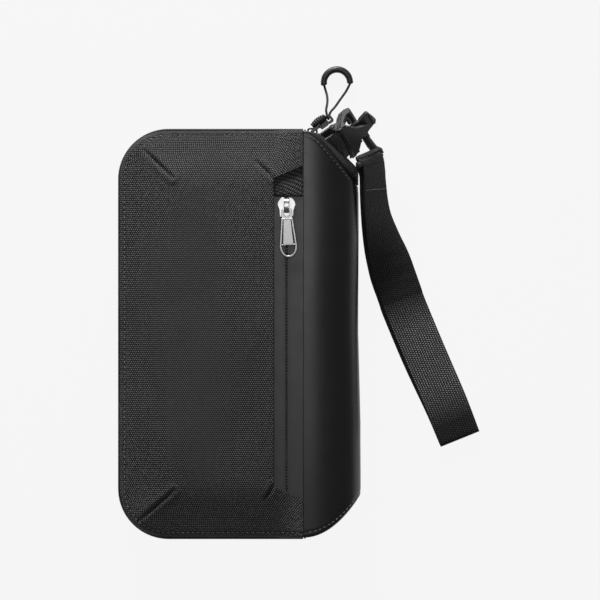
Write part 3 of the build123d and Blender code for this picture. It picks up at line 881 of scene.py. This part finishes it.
def tab_matrix():
    """The pull tab's own frame: x along it from its pivot."""
    pivot = joint_place("main_pull_swing")
    return Matrix.Translation(pivot) @ Matrix.Rotation(radians(TAB_ANGLE), 4, "Z")


def ring_prism(outer, inner, low, high):
    """A plate with one window: both outlines have the same number of points."""
    n = len(outer)
    points = [(x, y, z) for z in (low, high) for x, y in outer + inner]
    faces = []
    for i in range(n):
        k = (i + 1) % n
        faces += [(i, n + i, n + k, k), (2 * n + i, 2 * n + k, 3 * n + k, 3 * n + i),
                  (i, k, 2 * n + k, 2 * n + i), (n + i, 3 * n + i, 3 * n + k, n + k)]
    return points, faces


def rounded_box(x0, x1, y0, y1, r, steps=4):
    """A rounded rectangle's outline, from its lower right corner."""
    out = []
    centres = [(x1 - r, y0 + r), (x1 - r, y1 - r), (x0 + r, y1 - r), (x0 + r, y0 + r)]
    for i, centre in enumerate(centres):
        out += arc(centre, r, 90 * i - 90, 90 * i, steps)
    return out


def build_main_pull():
    """The narrow black tab with its slot and eye, and the pin and ears under the crown."""
    slot = rounded_box(4.2, 8.75, -2.2, 2.2, 0.7), rounded_box(5.2, 8.0, -0.7, 0.3, 0.4)
    eye = rounded_box(8.4, TAB_L, -2.2, 2.2, 1.2), rounded_box(9.2, 10.8, -0.75, 1.15, 0.4)
    pin = tube_mesh([(0, 0, -2.3), (0, 0, 2.3)], 0.6)
    ears = [block(-0.6, 4.6, -0.7, 0.7, z, z + 1.1) for z in (1.1, -2.2)]
    shapes = [ring_prism(*slot, -0.5, 0.5), ring_prism(*eye, -0.5, 0.5), pin] + ears
    shapes += [block(3.8, 4.9, -0.9, 0.9, -2.2, 2.2), block(5.0, 8.2, -0.9, 0.5, -0.15, 0.15)]
    solid_piece("main_pull_frame", shapes, "black_metal", "main_pull", ["main_pull_tab"], (0.18, 2),
                tab_matrix())


def build_hitch():
    """The cord's wrapped knot along the tab: turns of cord beside each other round a core."""
    turns = 6.5
    path = []
    for t in ramp(0, 1, 180):
        a = 2 * pi * turns * t
        r = 1.6 * sin(pi * (0.1 + 0.8 * t)) ** 0.6
        path.append((1.8 + 7.6 * t, 2.1 + r * cos(a), 1.1 * r * sin(a)))
    core = tube_mesh([(1.4, 2.0, 0), (5.6, 2.2, 0), (9.8, 2.0, 0)], [0.9, 1.6, 0.9], 10)
    solid_piece("cord_hitch", [tube_mesh(path, 0.66, 8), core], "cord", "main_pull", ["puller_hitch"],
                turn=tab_matrix())


CORD_D = 1.2
GRIP_C = (48.5, 125.0)
GRIP_R = 6.5
GRIP_D = 3.3
GRIP_Z = GRIP_D / 2 + 0.1
GRIP_START = -5
GRIP_END = 193


def grip_point(angle):
    """A place on the grip's middle line, by its angle in degrees."""
    a = radians(angle)
    return (GRIP_C[0] + GRIP_R * cos(a), GRIP_C[1] + GRIP_R * sin(a), GRIP_Z)


def tab_point(x, y, z):
    """A place in the tab's frame, in millimetres of the pouch's frame."""
    return tuple(tab_matrix() @ Vector((x, y, z)))


def build_cord():
    """The puller's cord, from the grip through the tab's eye and back."""
    eye, rail, fold = TAB_L - 2.0, 1.7, 1.45
    route = [
        grip_point(GRIP_END),
        (42.7, 121.5, 1.9),
        (43.5, 118.8, 3.4),
        (43.8, 116.0, 7.2),
        (43.5, 113.2, 11.6),
        tab_point(eye + 1.2, rail + 2.5, 0.9),
        tab_point(eye, rail - fold, fold),
        tab_point(eye, rail - fold, -fold),
        tab_point(eye + 2.7, rail + 0.95, -2.1),
        (47.4, 112.2, 9.3),
        (49.5, 115.5, 5.6),
        (51.7, 118.6, 3.1),
        (53.7, 121.6, 1.95),
        grip_point(GRIP_START),
    ]
    data = bpy.data.curves.new("puller_line", "CURVE")
    data.dimensions = "3D"
    data.bevel_depth = CORD_D / 2 * MM
    data.bevel_resolution = 4
    data.resolution_u = 12
    spline = data.splines.new("NURBS")
    spline.points.add(len(route) - 1)
    for point, place in zip(spline.points, route):
        point.co = (*[c * MM for c in place], 1)
    spline.order_u = 3
    spline.use_endpoint_u = True
    cord = bpy.data.objects.new("puller_line", data)
    finish_piece(cord, "cord", "main_pull", ["puller_cord"])
    return cord, [c * MM for c in route[0]]


def build_grip():
    """The bent rubber grip, with rounded ends and three fine rings at each end."""
    path, radii = [], []
    for t in ramp(0, 1, 60):
        path.append(grip_point(GRIP_START + (GRIP_END - GRIP_START) * t))
        end = min(t, 1 - t) * 22.0
        r = GRIP_D / 2 * min(1.0, 0.62 + 0.38 * sqrt(min(1.0, end / 0.7)))
        if 0.9 < end < 3.0:
            r -= 0.08 * (1 + sin(end * 9))
        radii.append(r)
    return solid_piece("grip_tube", [tube_mesh(path, radii, 20)], "rubber", "main_pull", ["puller_grip"])


# ---- pocket slider and pull ----


SLIDER_SIDE = [(2.3, 5.0), (3.4, 4.3), (4.2, 3.0), (4.55, 1.6), (4.1, 0.2), (3.6, -1.2), (3.45, -3.9),
               (3.0, -4.7)]


def both_sides(side):
    """A symmetrical outline from the points of its right side."""
    return side + [(-x, y) for x, y in reversed(side)]


def build_pocket_slider():
    """Two polished shoulders, a low bridge for the pull and a plate behind the tape."""
    low, high = size("pocket_slider_body")
    cx, cy = (low[0] + high[0]) / 2, (low[1] + high[1]) / 2
    base = STRIP_Z + 0.3
    outline = both_sides(SLIDER_SIDE)[::-1]
    top = prism_mesh(outline, base, base + 1.2)
    under = prism_mesh([(x * 0.8, y) for x, y in outline], STRIP_Z - 3.0, STRIP_Z - 2.3)
    neck = block(-0.3, 0.3, 1.5, 4.2, STRIP_Z - 2.4, base + 0.2)
    outside = [(4.9, 0.9), (4.9, 2.4), (3.9, 4.1), (2.6, 4.75), (-1.0, 4.75), (-2.3, 4.0), (-2.6, 0.9)]
    inside = [(-1.8, 0.9), (-1.6, 3.4), (-0.7, 4.1), (2.0, 4.1), (2.8, 3.2), (3.0, 0.9)]
    points, faces = prism_mesh([(y, base + z) for y, z in outside + inside], -1.25, 1.25)
    bridge = [(w, y, z) for y, z, w in points], faces
    solid_piece("pocket_slider_shell", [top, under, neck, bridge], "gunmetal", "pocket_slider",
                ["pocket_slider_body"], (0.42, 3), Matrix.Translation((cx, cy, 0)))


def pull_outline(inset, top):
    """The tapered tab's outline, inset by a width, from its right shoulder."""
    turn = -18.0
    right = [(2.75 + 1.5 * (-y - 4.0) / 14.0 - inset, y) for y in ramp(top, turn, 12)]
    rx, ry = right[-1][0], 5.5 - inset
    end = [(rx * cos(a), turn - ry * sin(a)) for a in ramp(0, pi, 18)[1:-1]]
    return right + end + [(-x, y) for x, y in reversed(right)]


def build_pocket_pull():
    """The tapered tab: an eye, a frame with a plain raised plate in it, and an open end."""
    eye = rounded_box(-2.6, 2.6, -5.0, 0.5, 1.5, 6), rounded_box(-1.5, 1.5, -3.3, -0.5, 1.1, 6)
    border = pull_outline(0.0, -4.2)[::-1], pull_outline(0.9, -5.2)[::-1]
    plate = both_sides([(1.75, -5.0), (1.9, -6.0), (2.6, -17.2)])
    bar = both_sides([(3.4, -17.0), (3.4, -17.7)])
    shapes = [ring_prism(*eye, -0.5, 0.5), ring_prism(*border, -0.55, 0.6),
              prism_mesh(plate[::-1], -0.35, 0.42), prism_mesh(bar[::-1], -0.5, 0.1)]
    droop = Matrix.Rotation(radians(3.5), 4, "X") @ Matrix.Rotation(radians(3.0), 4, "Z")
    solid_piece("pocket_pull_frame", shapes, "gunmetal", "pocket_pull", ["pocket_pull_tab"], (0.2, 2),
                Matrix.Translation(joint_place("pocket_pull_swing")) @ droop)


# ---- hook, webbing loop, strap hook and strap ----


BAR_X = -1.2
BAR_Z = -4.6
WEB_W = 20.0


def hook_matrix():
    """The hook's frame: x outward, y along the webbing's fold, z out of its face."""
    x = -Vector(JOINTS["strap_hook_swing"]["axis"]).normalized()
    y = Vector(JOINTS["hook_swing"]["axis"]).normalized()
    z = x.cross(y)
    turn = Matrix((x, y, z)).transposed().to_4x4()
    origin = joint_place("hook_swing") - turn.to_3x3() @ Vector((BAR_X, 0, BAR_Z))
    return Matrix.Translation(origin) @ turn


def build_webbing_loop():
    """The folded webbing that comes out of the cut corner and goes round the hook's bar."""
    turn = hook_matrix()
    inner = 2.4
    profile = [(-8.6, inner), (-6, inner), (-3.5, inner + 0.05)]
    profile += arc((0, 0), inner, 90, -90, 14)
    profile += [(-3.5, -inner), (-6, -inner), (-8.6, -inner)]
    rows = []
    for y in ramp(-WEB_W / 2, WEB_W / 2, 16):
        flare = 0.2 * max(0.0, -y / 10)
        row = []
        for x, z in profile:
            wide = y * (1 + flare * smooth_step((-2.6 - x) / 1.6))
            row.append(tuple(turn @ Vector((x + BAR_X, wide, z + BAR_Z))))
        rows.append(row)
    cloth_piece("webbing_fold", rows, "webbing_rib", "root", ["webbing_loop"], 1.1, 0.0, 0.3, True)


HOOK_FACE = [(0.5, 11.9), (2.6, 11.6), (5.2, 10.4), (6.6, 7.9), (8.5, 5.4), (11.4, 4.0), (14.0, 3.0),
             (14.6, 1.6), (13.6, -1.0), (12.2, -2.3), (9.6, -3.0), (8.0, -3.7), (6.7, -5.9), (4.3, -9.4),
             (1.4, -11.8), (-1.2, -12.3), (-0.6, -10.6), (0.3, -7.6), (1.1, -1.0), (1.4, 3.5), (1.3, 7.0),
             (0.7, 10.4)]
HOOK_LIP = [(4.4, 10.7, -0.2), (5.6, 9.6, -0.1), (6.6, 7.8, 0.0), (8.5, 5.2, 0.05), (11.4, 3.8, 0.1),
            (14.2, 2.8, 0.0)]
HOOK_RIDGE = [(0.9, 11.2, -0.3), (1.5, 7.0, -0.1), (1.7, 3.5, -0.1), (1.4, -1.0, -0.1), (0.7, -7.0, -0.2),
              (-0.3, -11.4, -0.4)]
HOOK_SIDE = [(-1.4, -1.6), (0.5, -0.3), (4.6, -0.5), (5.0, -3.4), (8.2, -6.0), (9.9, -5.9), (11.3, -7.2),
             (11.2, -9.2), (8.6, -10.0), (5.2, -9.4), (2.9, -7.4)]
HOOK_BACK = [(8.3, -6.2), (9.9, -5.9), (11.3, -7.2), (11.2, -9.2), (8.6, -9.9), (6.6, -9.6), (6.6, -8.6),
             (8.0, -8.2)]
HOOK_SIDE_RIB = [(0.4, 11.75, -1.4), (1.9, 11.8, -3.6), (3.4, 11.8, -6.4), (5.6, 11.75, -8.4)]


def side_prism(outline, y0, y1):
    """A closed polygon of (x, z) pairs, standing between two y values."""
    points, faces = prism_mesh(outline, y0, y1)
    return [(x, w, z) for x, z, w in points], [f[::-1] for f in faces]


def build_hook():
    """The moulded hook: bar, arms, rimmed plate, ridged side and the curl behind the mouth."""
    turn = hook_matrix()
    arm = [(-2.7, -6.0), (-1.2, -6.4), (4.0, -5.0), (4.0, -0.5), (1.6, -0.5), (-2.7, -3.2)]
    skirt = [(x - 1.1, y) if x < 2 else (x, y) for x, y in HOOK_FACE]
    shapes = [prism_mesh(HOOK_FACE[::-1], -1.6, 0.0), prism_mesh(skirt[::-1], -1.9, -0.7),
              side_prism(HOOK_SIDE, 8.8, 11.7), side_prism(HOOK_BACK, 0.6, 9.0),
              side_prism(arm, 10.4, 11.8), side_prism(arm, -11.6, -10.3),
              block(2.4, 4.0, -9.6, 9.0, -4.6, -0.8)]
    for x0, x1 in ((6.4, 7.8), (11.2, 12.3)):
        shapes.append(side_prism([(x0, -7.0), (x1, -7.0), (x1, -1.2), (x0, -1.2)], -7.2, -2.6))
    solid_piece("hook_shell", shapes, "plastic", "hook", ["hook_body"], (0.55, 3), turn)
    trims = [tube_mesh([(BAR_X, -11.4, BAR_Z), (BAR_X, 12, BAR_Z)], 1.5, 18),
             tube_mesh([(6.4, -6, -5.4), (12.5, -6, -5.4)], 1.1, 16),
             tube_mesh(HOOK_LIP, 0.5, 10), tube_mesh(HOOK_RIDGE, 0.42, 10)]
    for shift in (0.0, 1.3):
        trims.append(tube_mesh([(x + shift, y, z) for x, y, z in HOOK_SIDE_RIB], 0.34, 8))
    solid_piece("hook_trim", trims, "plastic", "hook", turn=turn)


GATE_TAB = [(12.8, -4.6), (18.4, -1.9), (19.2, -0.6), (17.5, 7.0), (16.6, 7.6), (12.0, 6.0), (11.6, 5.0)]


def build_gate():
    """The thumb lever: a tongue under the front plate and a slanted tab past its nose."""
    shapes = [block(4.8, 13.4, -2.2, 5.4, -4.6, -2.9), prism_mesh(GATE_TAB, -4.7, -2.4),
              side_prism([(16.4, -2.5), (18.6, -2.5), (18.2, -1.5), (17.0, -1.3)], -1.4, 5.2)]
    solid_piece("gate_lever", shapes, "plastic", "gate", ["hook_gate"], (0.45, 3), hook_matrix())


STRAP_HEADING = -64
STRAP_TILT = -56
STRAP_BAR_R = 1.6


def tilted(centre, heading, tilt):
    """A place on a band, and the directions along, across and out of it."""
    h, t = radians(heading), radians(tilt)
    along = Vector((cos(h), sin(h), 0))
    normal = Vector((sin(h) * sin(t), -cos(h) * sin(t), cos(t)))
    return Vector(centre), along, normal.cross(along), normal


def build_strap_hook():
    """The open hook that carries the strap: eye, widening arm, guard rail and bar."""
    turn = hook_matrix()
    centre, along, across, normal = tilted(joint_place("strap_swing"), STRAP_HEADING, STRAP_TILT)
    eye = [tuple(turn @ Vector((10.2, y, z))) for y, z in arc((-6, -5.4), 2.0, 0, 360, 20)]
    start = turn @ Vector((10.2, -7.4, -6.2))
    corner = centre + across * 12.3 - along * 1.2
    path = [start, Vector((62.7, 97.3, 7.0)), Vector((64.9, 94.2, 5.7)), Vector((67.0, 91.6, 4.6)),
            corner - along * 1.0, corner + along * 0.6]
    shapes = [tube_mesh(path, [1.7, 1.9, 2.1, 2.2, 1.9, 1.5], 14), tube_mesh(eye, 0.75, 10, False)]
    rail = [centre - along * 3.3 + across * s for s in ramp(12.0, -9.4, 10)]
    shapes.append(tube_mesh(rail + [rail[-1] + along * 0.9 - across * 0.8], [1.15] * 11 + [0.8], 14))
    shapes.append(tube_mesh([centre + across * s for s in ramp(12.4, -11.0, 8)], 0.95, 14))
    knob = [centre + across * -10.8, centre + across * -12.0]
    shapes.append(tube_mesh(knob, [1.7, 1.3], 14))
    solid_piece("strap_hook_shell", shapes, "plastic", "strap_carrier", ["strap_hook"])


# Stations of the strap's middle line, each with its heading and tilt in degrees.
STRAP_RUN = [
    ((64.6, 85.8, 13.6), -66, -56),
    ((65.9, 80.0, 12.8), -76, -57),
    ((66.2, 76.5, 12.2), -80, -57),
    ((66.7, 68.0, 11.2), -83, -55),
    ((68.1, 57.5, 9.6), -78, -49),
    ((71.1, 46.5, 7.2), -75, -34),
    ((74.6, 36.4, 4.4), -71, -15),
    ((76.6, 30.7, 3.1), -70, -7),
    ((78.7, 24.8, 2.3), -70, -2),
    ((80.8, 18.9, 2.0), -69, 0),
    ((82.9, 12.8, 1.9), -68, 0),
    ((92.7, -10.7, 1.9), -67, 0),
    ((102.8, -34.2, 1.9), -67, 0),
    ((109.2, -51.0, 1.9), -68, 0),
]
STRAP_STEPS = 9


def blend_four(a, b, c, d, t):
    """A smooth curve through b and c."""
    square, cube = 2 * a - 5 * b + 4 * c - d, 3 * b - a - 3 * c + d
    return 0.5 * (2 * b + (c - a) * t + square * t * t + cube * t ** 3)


def strap_frames():
    """Many frames along the strap, smoothly between its stations."""
    run = [STRAP_RUN[0]] + STRAP_RUN + [STRAP_RUN[-1]]
    out = []
    for i in range(1, len(run) - 2):
        places, headings, tilts = zip(*run[i - 1:i + 3])
        for k in range(STRAP_STEPS):
            t = k / STRAP_STEPS
            place = [blend_four(*values, t) for values in zip(*places)]
            out.append(tilted(place, blend_four(*headings, t), blend_four(*tilts, t)))
    out.append(tilted(*STRAP_RUN[-1]))
    return out


def build_strap():
    """One band of webbing: down, round the end fold, back and round the hook's bar."""
    frames = strap_frames()
    gap = 0.85
    line = []
    for i, (centre, along, across, normal) in enumerate(frames[4:], 4):
        spread = gap + 0.5 * exp(-(i - 5) / 3.0)
        ripple = 0.18 * noise.noise(Vector((i / 7, 0, 2.0)))
        line.append((centre + normal * (spread + ripple), across, normal))
    centre, along, across, normal = frames[-1]
    for a in ramp(20, 160, 6):
        r = radians(a)
        line.append((centre + along * (0.3 + gap * sin(r)) + normal * gap * cos(r), across, normal))
    for i in range(len(frames) - 1, 4, -1):
        centre, along, across, normal = frames[i]
        t = i / (len(frames) - 1)
        shift = -1.7 * smooth_step((t - 0.25) * 3) * smooth_step((1.02 - t) * 5)
        spread = gap + 0.5 * exp(-(i - 5) / 3.0)
        line.append((centre - normal * spread + across * shift, across, normal))
    centre, along, across, normal = tilted(joint_place("strap_swing"), STRAP_HEADING, STRAP_TILT)
    for x, z in arc((0, 0), STRAP_BAR_R, 250, 110, 8):
        line.append((centre + along * x + normal * z, across, normal))
    rows = []
    for centre, across, normal in line + line[:1]:
        row = []
        for s in ramp(-WEB_W / 2 - 0.4, WEB_W / 2 + 0.4, 12):
            curl = -0.12 * abs(s / 10) ** 3
            row.append(tuple(centre + across * s + normal * curl))
        rows.append(row)
    band = cloth_piece("strap_band", rows, "webbing", "strap", ["wrist_strap"], 1.1, 0.0, 0.3, True)
    for corner in band.data.uv_layers[0].data:  # so that the map's first direction runs along the band
        u, v = corner.uv
        corner.uv = (v, u)
    centre, along, across, normal = frames[24]
    spots = [(centre + across * s + normal * 1.5, across, normal) for s in ramp(-8.6, 8.6, 8)]
    stitches("strap_stitch", spots, "strap", 1.8, 0.26)


# ---- the CAD pieces that stay ----

KEPT = {
    "lining": ["back_lining", "front_lining", "inner_slip_pocket"],
    "foam": ["back_foam", "front_backing", "spine_stiffener"],
    "zip_tape": ["zip_end_tapes"],
    "coil": ["pocket_zip_stop"],
    "nylon_side": ["seam_binding"],
}


def dress_cad():
    """Gives the hidden cloth and foam pieces their materials."""
    for mat, names in KEPT.items():
        for name in names:
            obj = frame["nodes"][name]
            obj.data.materials.clear()
            obj.data.materials.append(M[mat])


# ---- the scene ----

make_materials()
add_camera()
add_world(0.1)
add_area("key", (0.0, 0.19, 1.1), (0.0, 0.16, 0.0), 0.52, 0.46, 1.0, 120)
add_area("rim", (-0.15, 0.97, 0.28), (0.0, 0.0, 0.02), 0.6, 0.25, 3.9, 90)
add_floor()
puller, puller_exit = build_cord()
grip = build_grip()
build_front()
build_dart_seams_and_shade()
build_pocket_fold()
build_garage()
build_pocket_tapes()
build_pocket_coil()
build_spine()
build_spine_stitches()
build_spine_caps()
build_gusset()
build_teeth()
build_back()
build_topstitch()
build_main_slider()
build_main_pull()
build_hitch()
build_pocket_slider()
build_pocket_pull()
build_webbing_loop()
build_hook()
build_gate()
build_strap_hook()
build_strap()
dress_cad()
bpy.context.scene.view_settings.view_transform = "Standard"
